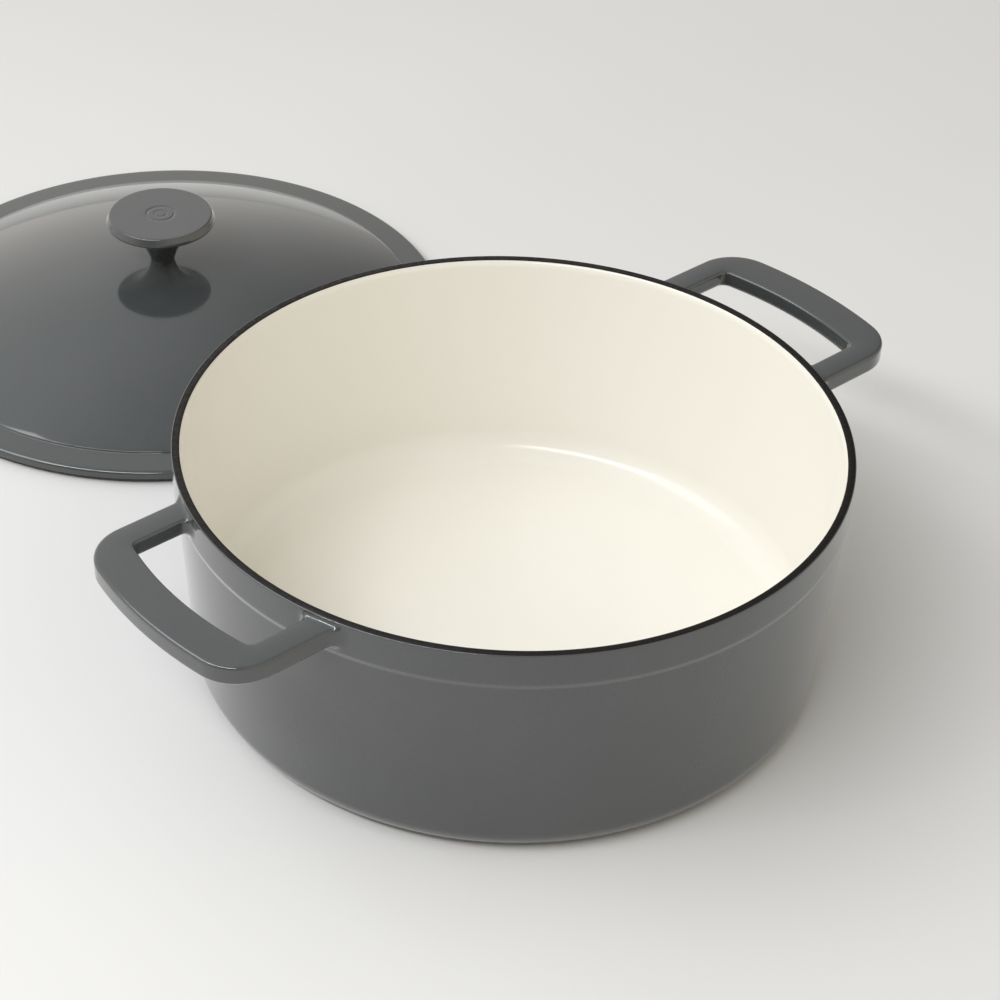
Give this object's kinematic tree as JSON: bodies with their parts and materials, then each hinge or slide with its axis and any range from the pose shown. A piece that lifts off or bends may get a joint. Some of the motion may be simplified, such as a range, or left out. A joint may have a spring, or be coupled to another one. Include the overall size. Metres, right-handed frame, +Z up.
{
  "type": "dutch oven",
  "caption": "Round enamelled cast iron dutch oven with two cast loop handles and a domed lid with a disc knob, lid laid beside the pot.",
  "frame": {"origin": "centre of the pot's base, on the surface that the pot stands on", "axes": "+Z up along the pot's axis, +X along the line of the two loop handles; the lid lies towards +Y"},
  "size_m": [0.3688, 0.584, 0.1074],
  "materials": {
    "slate_enamel": "glossy slate grey vitreous enamel",
    "cream_enamel": "glossy cream vitreous enamel",
    "rim_enamel": "matte, slightly grainy brown-black enamel",
    "enamelled_iron": "cast iron under a glossy slate grey vitreous enamel",
    "bare_iron": "matte brown-black ground iron",
    "screw_steel": "brushed stainless steel"
  },
  "bodies": {
    "pot": {"pot_casting": "bare_iron", "side_handle_right": "enamelled_iron", "side_handle_left": "enamelled_iron", "pot_outer_enamel": "slate_enamel", "pot_inner_enamel": "cream_enamel", "pot_rim_enamel": "rim_enamel"},
    "lid": {"lid_casting": "bare_iron", "lid_outer_enamel": "slate_enamel", "lid_inner_enamel": "cream_enamel", "knob": "enamelled_iron", "knob_screw": "screw_steel", "knob_washer": "screw_steel"}
  },
  "joints": [
    {"name": "lid_lift", "type": "slide", "parent": "pot", "child": "lid", "axis": [0, 0, 1], "range_m": [0, 0.2]}
  ]
}
